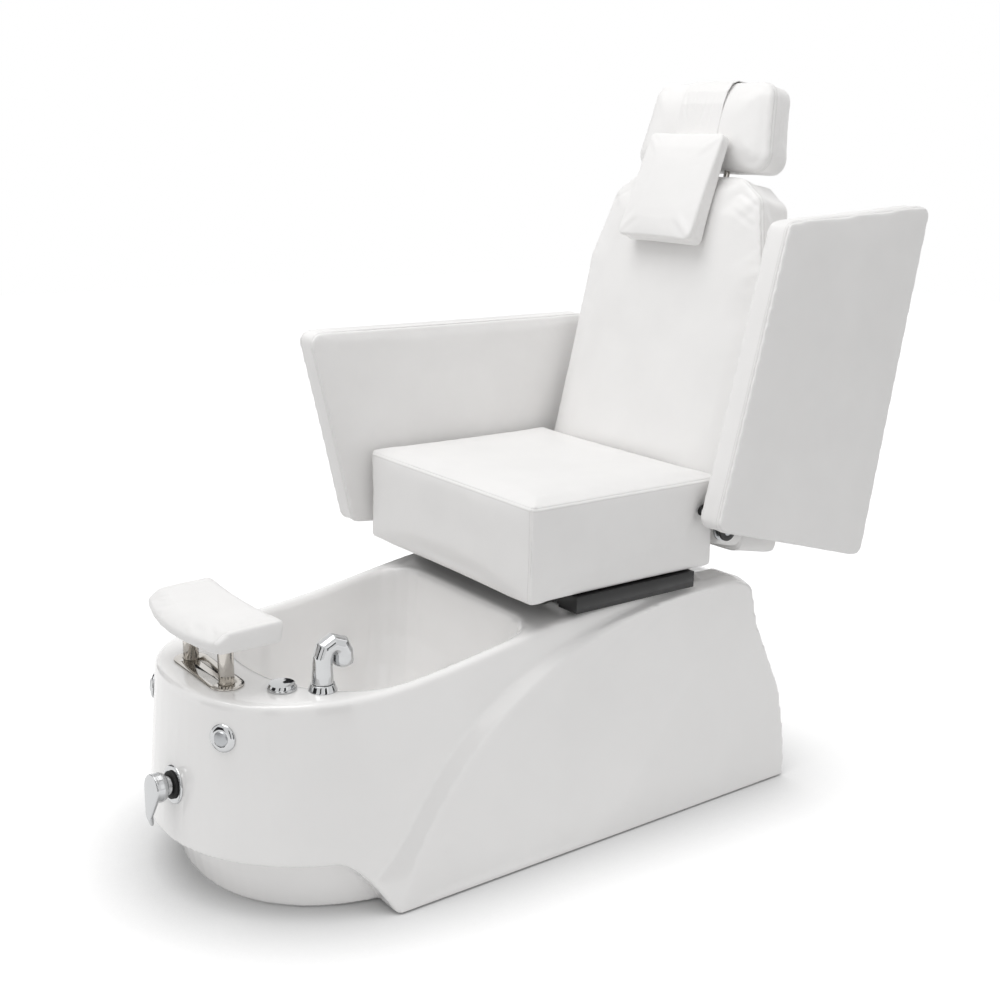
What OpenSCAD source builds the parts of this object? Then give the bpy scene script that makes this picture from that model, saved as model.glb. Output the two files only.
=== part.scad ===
// Spa pedicure chair: a moulded foot basin and pedestal in one white shell, and on it a sliding,
// reclining upholstered seat with lift-up arms. Millimetres, +Z up, the sitter faces -Y.
// Places along Y are measured from the seat's front face, and origin_back brings the model's
// origin to the middle of its length on the floor.

/* [Seat] */
// Width of the seat box
seat_w = 540; // [500:5:580]
// Depth of the seat box
seat_d = 452; // [430:2:470]
// Height of the seat's top above the floor
seat_top_z = 658; // [640:2:680]
// Height of the upholstered seat box
seat_box_h = 185; // [165:1:200]
// Distance from the seat's front face back to the origin
origin_back = 150; // [140:1:160]
// How far the seat slides back
slide_travel = 100; // [60:5:120]

/* [Backrest] */
// Backward lean of the backrest in degrees
lean = 12; // [8:1:16]
// Height of the backrest above the seat, along its lean
back_h = 562; // [520:2:600]
// Depth of the backrest below the seat's top, along its lean
back_drop = 150; // [134:2:154]
// Thickness of the backrest cushion
back_t = 98; // [80:1:110]
// Width of the backrest at its top
back_top_w = 300; // [260:2:360]

/* [Headrest and pillow] */
// Width of the headrest at its bottom
head_w = 380; // [320:2:400]
// Height of the headrest
head_h = 176; // [150:1:200]
// Thickness of the headrest
head_t = 74; // [60:1:90]
// How far the headrest lifts
head_travel = 50; // [30:1:60]
// Width of the neck pillow
pillow_w = 212; // [180:2:240]
// Height of the neck pillow
pillow_h = 222; // [200:2:240]
// Thickness of the pillow at its bottom edge
pillow_t = 46; // [36:1:56]
// Width of the pillow's strap
strap_w = 120; // [90:2:140]
// How far the pillow slides up
pillow_travel = 40; // [20:1:50]

/* [Arms] */
// Thickness of an arm panel
arm_t = 62; // [50:1:70]
// Height of an arm's top edge when it is down
arm_top_z = 898; // [870:2:930]
// Turn of a raised arm in degrees
arm_swing = 100; // [90:1:105]

/* [Base] */
// Height of the foot basin's front deck
deck_z = 374; // [350:2:400]
// Height of the pedestal under the seat
pedestal_z = 440; // [430:1:450]
// Half width of the side panels at the floor
panel_half_w = 321.4; // [300:1:340]
// Wall of the moulded shell
wall = 8; // [6:0.5:10]
// Height of the recessed toe kick
kick_h = 97; // [80:1:110]
// Depth of the foot basin below the deck
basin_depth = 239; // [200:1:250]

/* [Footrest and fittings] */
// Width of the footrest pad
rest_w = 286; // [230:2:300]
// Height of the footrest pad
rest_h = 50; // [40:1:60]
// How far the footrest lifts
rest_travel = 40; // [20:1:50]
// Radius of an air button's bezel
air_r = 24; // [20:0.5:28]
// Radius of the mixer's cover plate
mixer_r = 34; // [28:0.5:38]
// Radius of the handset's flange
shower_r = 25; // [22:0.5:30]

/* [Hidden] */
$fn = 48;

// Shared values
eps = 0.01;
over = 5;             // overrun of a cut
run_gap = 0.05;       // radial gap of a turning or sliding fit
press_gap = 0.02;     // radial gap of a piece that is held in its hole
soft_gap = 0.4;       // gap kept round upholstery
fit_gap = 0.3;        // gap between a fitting and its hole in the shell
side_gap = 4;         // gap between the backrest's foot and the arms' side of the seat
white = "white";
leather = "whitesmoke";
steel = "silver";
black = "dimgray";

// Seat
seat_hw = seat_w / 2;
seat_bottom_z = seat_top_z - seat_box_h;
board_h = 10;
board_inset = 26;
rail_x = 200;
rail_y = 125;
rail_l = 250;
rail_w = 36;
rail_pad_w = 44;
rail_h = 11;
pan_front = 106;
pan_l = 292;
pan_floor_gap = 2;
sheet = 3;

// Backrest frame of reference: the line where its front meets the seat's top
back_behind = 15;
back_y = seat_d + back_behind;
recline_behind = 24;
recline_y = seat_d + recline_behind;
recline_z = 543;
recline_pin_r = 9;
ear_r = 22;
ear_t = 5;
back_foot_w = seat_w - 2 * side_gap;
back_waist_in = 20;
back_waist_w = seat_w - 2 * back_waist_in;
back_shoulder_share = 0.685;
back_neck_share = 0.936;
back_shoulder_s = back_h * back_shoulder_share;
back_neck_s = back_h * back_neck_share;
back_neck_w = 412;
housing_t = 118;
housing_top_t = 10;
rod_r = 6;
rod_x = 70;
rod_l = 150;
rod_depth = 42;
rod_top = 45;
sleeve_r = 9;
sleeve_l = 110;

// Headrest
head_above = 14.1;     // from the backrest's top edge to the headrest's bottom edge
head_behind = 21.7;    // how far the headrest's front seam lies behind the backrest's
head_top_w = 320;
head_crown = 16;
strap_t = 2.5;
weight_w = 128;
weight_l = 80;
weight_t = 14;
weight_s = 70;

// Arms: the outline of a lowered arm in Y and Z
arm_in = seat_hw + 18;
arm_pivot_behind = 59;
arm_pivot_y = seat_d + arm_pivot_behind;
arm_pivot_z = 589;
arm_low_behind = 101;
arm_top_behind = 143;
arm_front_top = [-124, arm_top_z];
arm_front_low = [-27, 498];
arm_rear_low = [seat_d + arm_low_behind, 459];
arm_rear_top = [seat_d + arm_top_behind, arm_top_z];
arm_pin_r = 10;
hub_r = 32;
hub_t = 5;
plate_t = 6;
plate_gap = 2.5;
plate_x = seat_hw + plate_gap;
bolt_ahead = 48;
bolt_y = seat_d - bolt_ahead;
bolt_z = 593;
bolt_r = 7;

// Shell
bow_y = -230;                       // where the straight sides turn into the bow
bow_n = 360;                        // length of the bow at the floor
bow_top_n = 327;                    // length of the bow at the deck
side_low_w = 316;                   // half width at the floor
side_deck_w = 255;                  // half width at the deck
bow_power_share = 1.95;             // squareness of the bow at the floor
bow_top_power_share = 2.42;         // squareness of the bow at the deck
rear_low_y = 642;
rear_top_y = 538;
rear_curve_share = 1.8;
rear_corner_r = 26;
rim_r = 12;
rise_start = -320;                  // where the rim starts to rise towards the pedestal
rise_end = 240;
rear_drop = 19;                     // fall of the deck towards its rear edge
rear_drop_y = 490;
rear_drop_l = 70;
floor_gap = 3;
kick_w = 263;
kick_n = 290;
kick_top_n = 304;
kick_power_share = 2.2;
arch_start = -387;
arch_end = -302.5;
arch_power_share = 1.6;
panel_top_hw = 270;
panel_slope_share = (panel_half_w - panel_top_hw) / pedestal_z;
sweep_rear = 520;
sweep_l = 816;
sweep_top_z = 431;
band_l = 890;
band_depth = 25;
sweep_q_share = 2.6;
sweep_r_share = 1.4;
ridge_low_y = 130;
ridge_run = 378;
ridge_bow = 90;
scoop_depth = 12;
basin_y = -215;
basin_n = 200;
basin_hw = 228;
basin_power_share = 2.25;
basin_rear = 44;
basin_corner_r = 70;
basin_floor_z = deck_z - basin_depth;
bow_steps = 16;
side_steps = 10;
corner_steps = 4;

// Smooth step from 0 to 1
function ease(t) = let(c = min(max(t, 0), 1)) c * c * (3 - 2 * c);
function mix(a, b, t) = a + (b - a) * t;
// Height of the shell's top edge at a place along Y
function top_z(y) = mix(deck_z, pedestal_z, ease((y - rise_start) / (rise_end - rise_start)))
    - rear_drop * ease((y - rear_drop_y) / rear_drop_l);
function height_share(z) = z / deck_z;
function side_w(z) = mix(side_low_w, side_deck_w, height_share(z));
function bow_len(z) = mix(bow_n, bow_top_n, height_share(z));
function bow_power(z) = mix(bow_power_share, bow_top_power_share, height_share(z));
function rear_y(z) = rear_low_y - (rear_low_y - rear_top_y) * pow(z / pedestal_z, rear_curve_share);
function panel_x(z) = panel_half_w - panel_slope_share * z;

// One half of a plan outline, from its nose at x = 0 round the side to its rear middle
function half_plan(w, n, p, cy, ry, rc) = concat(
    [for (i = [0:bow_steps]) let(t = 90 * i / bow_steps)
        [w * pow(sin(t), 2 / p), cy - n * pow(cos(t), 2 / p)]],
    [for (i = [1:side_steps]) [w, mix(cy, ry - rc, i / side_steps)]],
    [for (i = [1:corner_steps]) let(t = 90 * i / corner_steps)
        [w - rc * (1 - cos(t)), ry - rc * (1 - sin(t))]]);
// The whole outline: the half and its mirror image
function plan(h) = concat(h, [for (i = [len(h) - 1:-1:1]) [-h[i].x, h[i].y]]);
// The shell's outline at height z, drawn in by d
function shell_plan(z, d) = plan(half_plan(side_w(z) - d, bow_len(z) - d, bow_power(z), bow_y,
    rear_y(z) - d, rear_corner_r));
function basin_plan(d) = plan(half_plan(basin_hw - d, basin_n - d, basin_power_share, basin_y,
    basin_rear - d, basin_corner_r));
function kick_plan(n, d) = plan(half_plan(kick_w - d, n - d, kick_power_share, bow_y,
    rear_low_y - rear_corner_r, rear_corner_r));
// Rings in space: level, or at a depth h under the shell's top edge
function level(outline, z) = [for (p = outline) [p.x, p.y, z]];
function under_top(outline, h) = [for (p = outline) [p.x, p.y, top_z(p.y) - h]];
// A ring part of the way from one ring to another
function between(a, b, t) = [for (i = [0:len(a) - 1]) mix(a[i], b[i], t)];

// A closed skin over rings that run counter-clockwise seen from the last of them. Each end is
// closed by triangles round its middle, or from side to side where the rings are mirrored plans
function sum(v) = [for (i = 0, t = 0; i <= len(v); t = t + (i < len(v) ? v[i] : 0), i = i + 1) t][len(v)];
function middle(ring) = [for (k = [0:2]) sum([for (p = ring) p[k]]) / len(ring)];
function fan(n, c) = [for (i = [0:n - 1]) [c, i, (i + 1) % n]];
function strips(n) = concat([[0, 1, n - 1]], [for (i = [1:(n - 3) / 2]) each [
    [i, i + 1, n - i - 1],
    [i, n - i - 1, n - i]]]);
module skin(rings, mirrored = false) {
    n = len(rings[0]);
    m = len(rings);
    low = mirrored ? strips(n) : fan(n, m * n);
    high = mirrored ? strips(n) : fan(n, n + 1);
    faces = concat(low,
        [for (k = [0:m - 2], i = [0:n - 1]) each [
            [k * n + i, (k + 1) * n + i, k * n + (i + 1) % n],
            [(k + 1) * n + i, (k + 1) * n + (i + 1) % n, k * n + (i + 1) % n]]],
        [for (t = high) [for (k = [2:-1:0]) (m - 1) * n + t[k]]]);
    ends = mirrored ? [] : [middle(rings[0]), middle(rings[m - 1])];
    polyhedron(points = concat([for (r = rings) each r], ends), faces = faces, convexity = 10);
}

// Rounded outlines for the upholstery, from their corners, counter-clockwise
function unit(v) = v / norm(v);
function inward(a, b) = let(u = unit(b - a)) [-u.y, u.x];
function drawn_in(a, b, c, d) = let(p = inward(a, b), q = inward(b, c)) b + (p + q) * d / (1 + p * q);
function inset(P, d) = let(n = len(P)) [for (i = [0:n - 1])
    drawn_in(P[(i + n - 1) % n], P[i], P[(i + 1) % n], d)];
function round_corner(a, b, c, r, steps) = let(
    u = unit(a - b), v = unit(c - b), half = acos(u * v) / 2,
    mid = b + unit(u + v) * r / sin(half), s = b + u * r / tan(half),
    start = atan2(s.y - mid.y, s.x - mid.x))
    [for (i = [0:steps]) let(g = start + (180 - 2 * half) * i / steps) mid + r * [cos(g), sin(g)]];
function edge_points(a, b, steps, bow) = [for (i = [1:steps - 1]) let(t = i / steps)
    mix(a, b, t) + inward(a, b) * bow * 4 * t * (1 - t)];
function soft_ring(P, r, d, bow, steps, cuts) = let(
    Q = inset(P, d), n = len(P), rr = max(r - d, soft_min_r),
    arcs = [for (i = [0:n - 1]) round_corner(Q[(i + n - 1) % n], Q[i], Q[(i + 1) % n], rr, steps)])
    [for (i = [0:n - 1]) each concat(arcs[i],
        edge_points(arcs[i][steps], arcs[(i + 1) % n][0], cuts, bow))];
soft_min_r = 3;
// Heights of a cushion's rings: drawn in, drop from the face as a share of the edge radius
edge_shares = [[1, 0], [0.42, 0.16], [0.1, 0.52], [0, 1]];
crown_shares = [[0.18, 0.42], [0.45, 0.8], [0.82, 1]];

// A boxed cushion: front face at z = 0 with a crown, rear face at the depth given at y0 and y1
module cushion(P, r, y0, t0, y1, t1, edge, crown, draw, reach, back_crown, steps, cuts) {
    function depth(y) = mix(t0, t1, (y - y0) / (y1 - y0));
    front = [for (s = edge_shares) [for (p = soft_ring(P, r, edge * s[0], draw / 2, steps, cuts))
        [p.x, p.y, -edge * s[1]]]];
    rear = [for (s = edge_shares) [for (p = soft_ring(P, r, edge * s[0], draw / 2, steps, cuts))
        [p.x, p.y, -depth(p.y) + edge * s[1]]]];
    crowns = [for (s = crown_shares) [for (p = soft_ring(P, r, edge + reach * s[0], 0, steps, cuts))
        [p.x, p.y, crown * s[1]]]];
    hollows = [for (s = crown_shares) [for (p = soft_ring(P, r, edge + reach * s[0], 0, steps, cuts))
        [p.x, p.y, -depth(p.y) - back_crown * s[1]]]];
    waist = [for (p = soft_ring(P, r, draw, draw / 2, steps, cuts)) [p.x, p.y, -depth(p.y) / 2]];
    n = len(crown_shares) - 1;
    m = len(edge_shares) - 1;
    skin(concat([for (i = [n:-1:0]) hollows[i]], [for (i = [0:m]) rear[i]], [waist],
        [for (i = [m:-1:0]) front[i]], crowns));
}

// Frames of reference
module place() { translate([0, -origin_back, 0]) children(); }
module on_back() { translate([0, back_y, seat_top_z]) rotate([90 - lean, 0, 0]) children(); }
module on_head() { on_back() translate([0, back_h + head_above, -head_behind]) children(); }
module along_x() { rotate([90, 0, 90]) children(); }
module both_sides() {
    children();
    mirror([1, 0, 0]) children();
}
// A place on the bow wall at x and z, turned so that +Z points straight out of the wall
function bow_place_y(x, z) = bow_y
    - bow_len(z) * pow(1 - pow(abs(x) / side_w(z), bow_power(z)), 1 / bow_power(z));
function bow_turn(x, z) = let(p = bow_power(z), y = bow_place_y(x, z) - bow_y,
    gx = pow(abs(x) / side_w(z), p - 1) / side_w(z) * sign(x),
    gy = pow(abs(y) / bow_len(z), p - 1) / bow_len(z)) atan2(gx, gy);
bow_tilt = atan((bow_n - bow_top_n) / deck_z);
module on_bow(x, z) {
    translate([x, bow_place_y(x, z), z]) rotate([0, 0, bow_turn(x, z)])
        rotate([90 - bow_tilt, 0, 0]) children();
}

// Fittings' places
air_x = 138;
air_z = 313;
mixer_x = 26;
mixer_z = 197;
seat_flat = 1.6;        // depth of the flat spot that a fitting seats on
knob_x = 138;
knob_y = -419;
knob_r = 25;
knob_hole_r = 14;
shower_x = 178;
shower_y = -364;
shower_hole_r = 17;
air_hole_r = 14;
mixer_hole_r = 22;
plate_y = -487;
post_x = 70;
post_r = 13.5;
post_sleeve_t = 3;
rest_plate_r = 30;
rest_plate_t = 3;
drain_y = -190;
drain_hole_r = 24;
jet_z = 225;
jet_tilt = 15;
jet_hole_r = 32;
jet_wall_y = 24;

module bow_holes(r, flat_r, x, z) {
    on_bow(x, z) {
        translate([0, 0, -wall * 3]) cylinder(r = r, h = wall * 4);
        translate([0, 0, -seat_flat]) cylinder(r = flat_r, h = wall);
    }
}

// Basin rings from above the rim down to the floor, grown outwards by g
basin_height_shares = [0.88, 0.6, 0.35, 0.17, 0.06, 0];
basin_insets = [3, 9, 22, 36, 54, 78];
function basin_level(i, g, drop) = level(basin_plan(basin_insets[i] - g),
    mix(basin_floor_z, deck_z, basin_height_shares[i]) - drop);
module basin_space(lip) {
    rings = concat([
        under_top(basin_plan(-lip), -lip / 3),
        under_top(basin_plan(-lip / 3), lip / 7),
        under_top(basin_plan(0), lip * 0.7)
    ], [for (i = [0:5]) basin_level(i, 0, 0)]);
    skin([for (i = [len(rings) - 1:-1:0]) rings[i]], mirrored = true);
}
// The collar under the rim, which the bowl is bonded to
module basin_collar()
    skin([basin_level(0, wall, 0), under_top(basin_plan(-wall), 0)], mirrored = true);

// Sweep curve over the side: from the floor up and back to the pedestal's rear
function sweep(l, h, t) = [sweep_rear - l * pow(cos(t), 2 / sweep_q_share),
    h * pow(sin(t), 2 / sweep_r_share)];
sweep_steps = 18;
// The side's rear edge from its top corner down to the floor, as heights and places along Y
side_rear_zs = [422, 415, 404, 384, 336, 262, 188, 103, 50, 0];
side_rear_ys = [546, 557, 564, 566, 573, 603, 633, 643, 644, 641];
function side_outline(l, h) = concat(
    [for (i = [0:sweep_steps]) sweep(l, h, 90 * i / sweep_steps)],
    [for (i = [0:len(side_rear_zs) - 1]) [side_rear_ys[i], side_rear_zs[i] * h / sweep_top_z]]);
module side_panel() {
    outer = side_outline(sweep_l, sweep_top_z);
    inner = side_outline(band_l, pedestal_z);
    function ring(P, drop) = [for (p = P) [panel_x(p.y) - drop, p.x, p.y]];
    function flat_ring(P, x) = [for (p = P) [x, p.x, p.y]];
    skin([for (r = [flat_ring(inner, side_deck_w - 60), ring(inner, band_depth), ring(outer, 0)])
        [for (i = [len(r) - 1:-1:0]) r[i]]]);
}
// The hollow between the sweep and the soft ridge behind it
function ridge(t) = [ridge_low_y + ridge_run * t + ridge_bow * t * (1 - t), sweep_top_z * t];
scoop_cuts = 6;
module scoop() {
    function spot(i, j, lift) = let(
        a = sweep(sweep_l, sweep_top_z, 90 * i / sweep_steps), b = ridge(a.y / sweep_top_z),
        q = mix(a, b, mix(0.04, 1, j / scoop_cuts)), f = sin(180 * j / scoop_cuts),
        g = pow(sin(180 * min(i / sweep_steps, 1)), 0.8))
        [panel_x(q.y) + (lift > 0 ? lift : -scoop_depth * f * g), q.x, q.y];
    skin([for (i = [1:sweep_steps - 1]) concat(
        [for (j = [0:scoop_cuts]) spot(i, j, wall)],
        [for (j = [scoop_cuts:-1:0]) spot(i, j, 0)])]);
}

// Everything below the arch of the toe kick, outside the kick itself
module kick_cut() {
    arch = [for (i = [0:8]) let(t = i / 8) [mix(arch_start, arch_end, t),
        kick_h * (1 - pow(t, arch_power_share))]];
    difference() {
        translate([-panel_half_w - over, 0, 0]) along_x()
            linear_extrude(2 * (panel_half_w + over))
                polygon(concat([[bow_y - bow_n - over, -over], [arch_end, -over]],
                    [for (i = [8:-1:0]) arch[i]], [[bow_y - bow_n - over, kick_h]]));
        skin([level(kick_plan(kick_n, 0), -over - eps), level(kick_plan(kick_n, 0), floor_gap),
            level(kick_plan(mix(kick_n, kick_top_n, 0.6), 0), kick_h / 2),
            level(kick_plan(kick_top_n, 0), kick_h + over)], mirrored = true);
    }
}

// The open space inside the shell, under the deck and the pedestal
module shell_hollow() {
    low = level(shell_plan(0, wall), -over);
    mid = level(shell_plan(deck_z / 2, wall), deck_z / 2);
    top = under_top(shell_plan(deck_z, wall), wall);
    difference() {
        union() {
            intersection() {
                skin([low, mid, top], mirrored = true);
                union() {
                    translate([-panel_half_w, arch_end + wall, -2 * over])
                        cube([2 * panel_half_w, rear_low_y - arch_end, 2 * pedestal_z]);
                    translate([-panel_half_w, bow_y - bow_n, kick_h + wall])
                        cube([2 * panel_half_w, rear_low_y + bow_n - bow_y, pedestal_z]);
                }
            }
            skin([level(kick_plan(kick_n, wall), -over),
                level(kick_plan(kick_top_n, wall), kick_h + wall + over)], mirrored = true);
        }
        basin_collar();
    }
}

// Mounting pads: two on the pedestal for the slide rails, and tapered bosses underneath
module shell_bosses() {
    for (x = [-1, 1]) hull() {
        translate([x * rail_x - rail_pad_w / 2, rail_y - wall, pedestal_z - wall / 2])
            cube([rail_pad_w, rail_l + 2 * wall, wall / 2]);
        translate([x * rail_x - rail_pad_w / 2 - wall, rail_y - 2 * wall, pedestal_z - 2 * wall])
            cube([rail_pad_w + 2 * wall, rail_l + 4 * wall, wall]);
    }
    for (x = [-1, 1], y = [leg_front_y, leg_rear_y]) hull() {
        translate([x * frame_x, y, pedestal_z - wall - boss_h])
            cylinder(r = boss_r, h = eps, $fn = 24);
        translate([x * frame_x, y, pedestal_z - wall * 0.9])
            cylinder(r = boss_r * 1.6, h = eps, $fn = 24);
    }
    for (x = [-1, 1]) hull() {
        translate([x * post_x, plate_y, deck_z - wall - boss_h])
            cylinder(r = post_r + wall, h = eps, $fn = 24);
        translate([x * post_x, plate_y, deck_z - wall / 2])
            cylinder(r = post_r + wall * 1.5, h = eps, $fn = 24);
    }
}
pad_x = 110;
pad_h = 5;
boss_h = 8;
boss_r = 20;
leg_front_y = 190;
leg_rear_y = 480;
post_hole_depth = 90;

module base_shell() color(white) place() difference() {
    union() {
        difference() {
            union() {
                skin([level(shell_plan(floor_gap, 0), floor_gap),
                    level(shell_plan(kick_h, 0), kick_h),
                    level(shell_plan(deck_z / 2, 0), deck_z / 2),
                    between(level(shell_plan(deck_z / 2, 0), deck_z / 2),
                        under_top(shell_plan(deck_z, 0), rim_r), 0.6),
                    under_top(shell_plan(deck_z, 0), rim_r),
                    under_top(shell_plan(deck_z, rim_r * 0.12), rim_r * 0.5),
                    under_top(shell_plan(deck_z, rim_r * 0.45), rim_r * 0.14),
                    under_top(shell_plan(deck_z, rim_r), 0)], mirrored = true);
                both_sides() difference() {
                    side_panel();
                    scoop();
                }
            }
            shell_hollow();
        }
        shell_bosses();
    }
    kick_cut();
    basin_space(rim_r * 1.3);
    translate([-panel_half_w, bow_y - bow_n, -2 * over])
        cube([2 * panel_half_w, rear_low_y + bow_n - bow_y, 2 * over + floor_gap]);
    for (x = [-1, 1]) bow_holes(air_hole_r, air_r + fit_gap, x * air_x, air_z);
    bow_holes(mixer_hole_r, mixer_r + fit_gap, mixer_x, mixer_z);
    translate([knob_x, knob_y, deck_z - 2 * wall]) cylinder(r = knob_hole_r, h = 3 * wall);
    translate([shower_x, shower_y, deck_z - 3 * wall]) cylinder(r = shower_hole_r, h = 4 * wall);
    for (x = [-1, 1]) translate([x * post_x, plate_y, deck_z - post_hole_depth])
        cylinder(r = post_r + post_sleeve_t + fit_gap, h = post_hole_depth + over);
    access_cut();
}

// The moulded bowl of the basin, bonded under the shell's rim
module foot_basin() color(white) place() difference() {
    union() {
        skin(concat([basin_level(5, wall, wall)],
            [for (i = [4:-1:1]) basin_level(i, wall, wall)], [basin_level(0, wall, 0)],
            [for (i = [0:5]) basin_level(i, 0, 0)]), mirrored = true);
        for (x = [-1, 1]) translate([x * pad_x, cradle_rear_y, basin_floor_z - wall - pad_h])
            cylinder(r1 = boss_r, r2 = boss_r * 1.2, h = pad_h + wall / 2);
    }
    translate([0, drain_y, basin_floor_z - 2 * wall]) cylinder(r = drain_hole_r, h = 4 * wall);
    jet_frame() {
        translate([0, 0, -4 * wall]) cylinder(r = jet_hole_r, h = 6 * wall);
        cylinder(r = jet_flange_r + fit_gap, h = 4 * wall);
    }
}

// Rear access opening and the panel that closes it
panel_w = 300;
panel_h = 190;
panel_z = 60;
panel_t = 4;
panel_lip = 14;
screw_r = 3;
function rear_slope() = atan((rear_y(panel_z) - rear_y(panel_z + panel_h)) / panel_h);
module on_rear() {
    translate([0, rear_y(panel_z), panel_z]) rotate([rear_slope(), 0, 0]) children();
}
module access_cut() {
    on_rear() {
        translate([-panel_w / 2 + panel_lip, -4 * wall, panel_lip])
            cube([panel_w - 2 * panel_lip, 6 * wall, panel_h - 2 * panel_lip]);
        translate([-panel_w / 2 - fit_gap, -panel_t, -fit_gap])
            cube([panel_w + 2 * fit_gap, 4 * wall, panel_h + 2 * fit_gap]);
    }
}
module rear_panel() color(white) place() on_rear() difference() {
    translate([-panel_w / 2, -panel_t, 0]) cube([panel_w, panel_t, panel_h]);
    for (x = [-1, 1], z = [panel_lip / 2, panel_h - panel_lip / 2])
        translate([x * (panel_w - panel_lip) / 2, -panel_t - over, z]) rotate([-90, 0, 0])
            cylinder(r = screw_r + run_gap, h = panel_t + 2 * over);
}
module panel_screws() color(steel) place() on_rear()
    for (x = [-1, 1], z = [panel_lip / 2, panel_h - panel_lip / 2])
        translate([x * (panel_w - panel_lip) / 2, 0, z]) rotate([-90, 0, 0]) {
            translate([0, 0, -panel_t + eps]) cylinder(r = screw_r, h = panel_t);
            cylinder(r1 = screw_r * 2, r2 = screw_r * 1.4, h = screw_r * 0.7);
        }

// Welded steel frame inside the shell
tube = 30;
tube_wall = 2.5;
frame_x = 195;
skid_z = 18;
skid_front = -380;
skid_rear = 560;
foot_r = 20;
foot_h = 12;
stud_r = 6;
module square_tube(l) {
    difference() {
        translate([-tube / 2, 0, 0]) cube([tube, l, tube]);
        translate([-tube / 2 + tube_wall, -over, tube_wall])
            cube([tube - 2 * tube_wall, l + 2 * over, tube - 2 * tube_wall]);
    }
}
module frame_skids() color(black) place() for (x = [-1, 1])
    translate([x * frame_x, skid_front, skid_z]) square_tube(skid_rear - skid_front);
module frame_legs() color(black) place() for (x = [-1, 1], y = [leg_front_y, leg_rear_y])
    translate([x * frame_x - tube / 2, y - tube / 2, skid_z + tube])
        cube([tube, tube, pedestal_z - wall - boss_h - 2 * tube - skid_z]);
module frame_beams() color(black) place() for (x = [-1, 1])
    translate([x * frame_x, leg_front_y - tube, pedestal_z - wall - boss_h - tube])
        square_tube(leg_rear_y - leg_front_y + 1.5 * tube);
cradle_front_y = -300;
cradle_rear_y = -80;
module basin_cradles() color(black) place() for (y = [cradle_front_y, cradle_rear_y])
    translate([-frame_x - tube / 2, y - tube / 2, skid_z + tube])
        cube([2 * frame_x + tube, tube, basin_floor_z - wall - pad_h - skid_z - tube]);
module levelling_feet() color(black) place()
    for (x = [-1, 1], y = [skid_front + tube, skid_rear - tube]) translate([x * frame_x, y, 0]) {
        cylinder(r1 = foot_r, r2 = foot_r * 0.8, h = foot_h);
        translate([0, 0, foot_h - eps]) cylinder(r = stud_r, h = skid_z - foot_h + eps);
    }

// Basin waste
drain_r = 34;
drain_t = 3;
plug_r = 19;
module drain_flange() color(steel) place() translate([0, drain_y, basin_floor_z]) difference() {
    union() {
        cylinder(r = drain_r, h = drain_t);
        translate([0, 0, -3 * wall]) cylinder(r = drain_hole_r - fit_gap, h = 3 * wall + eps);
    }
    translate([0, 0, -3 * wall - over]) cylinder(r = plug_r + fit_gap, h = 4 * wall + 2 * over);
}
module drain_trap() color(white) place() translate([0, drain_y, 0]) {
    translate([0, 0, trap_z]) cylinder(r = trap_r, h = basin_floor_z - 3 * wall - trap_z);
    translate([0, 0, trap_z + trap_pipe_r + wall]) rotate([-90, 0, 0])
        cylinder(r = trap_pipe_r, h = cradle_rear_y - tube / 2 - drain_y - wall);
}
trap_z = 30;
trap_r = 32;
trap_pipe_r = 19;
module drain_plug() color(steel) place() translate([0, drain_y, basin_floor_z]) {
    cylinder(r1 = plug_r, r2 = plug_r * 0.7, h = drain_t * 4 / 3);
    translate([0, 0, -2.75 * wall]) cylinder(r = stud_r, h = 3 * wall);
}

// Pipeless whirl jet in the basin's rear wall
jet_flange_r = 44;
jet_bore_r = 27;
jet_shaft_r = 4;
jet_blades = 6;
module jet_frame() {
    translate([0, jet_wall_y, jet_z]) rotate([90 - jet_tilt, 0, 0]) children();
}
module jet_fitting() color(white) place() jet_frame() difference() {
    union() {
        translate([0, 0, -3 * wall]) cylinder(r = jet_hole_r - fit_gap, h = 3 * wall + eps);
        cylinder(r = jet_flange_r, h = sheet);
    }
    translate([0, 0, -3 * wall + sheet]) cylinder(r = jet_bore_r, h = 4 * wall);
    translate([0, 0, -4 * wall]) cylinder(r = jet_shaft_r + 1, h = 3 * wall);
}
module jet_cover() color(steel) place() jet_frame() translate([0, 0, sheet]) difference() {
    cylinder(r1 = jet_flange_r, r2 = jet_flange_r * 0.86, h = 2 * sheet);
    for (i = [0:11]) rotate([0, 0, 30 * i]) translate([jet_bore_r * 0.42, -1.5, -over])
        cube([jet_bore_r * 0.5, 3, 4 * over]);
}
module jet_impeller() color(steel) place() jet_frame() translate([0, 0, -3 * wall + sheet + 1]) {
    cylinder(r = jet_shaft_r * 2, h = wall);
    translate([0, 0, -2 * sheet]) cylinder(r = jet_shaft_r, h = wall);
    for (i = [0:jet_blades - 1]) rotate([0, 0, 360 / jet_blades * i])
        translate([jet_shaft_r, -1, 1]) cube([jet_bore_r - jet_shaft_r - 2, 2, wall]);
}
motor_r = 42;
motor_l = 105;
module jet_motor() color(black) place() jet_frame() translate([0, 0, -3 * wall]) difference() {
    union() {
        translate([0, 0, -motor_l]) cylinder(r = motor_r, h = motor_l);
        for (i = [0:7]) rotate([0, 0, 45 * i]) translate([motor_r - 1, -1.5, -motor_l + wall])
            cube([wall, 3, motor_l - 2 * wall]);
    }
    translate([0, 0, -wall]) cylinder(r = jet_shaft_r + run_gap, h = 2 * wall);
}

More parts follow.
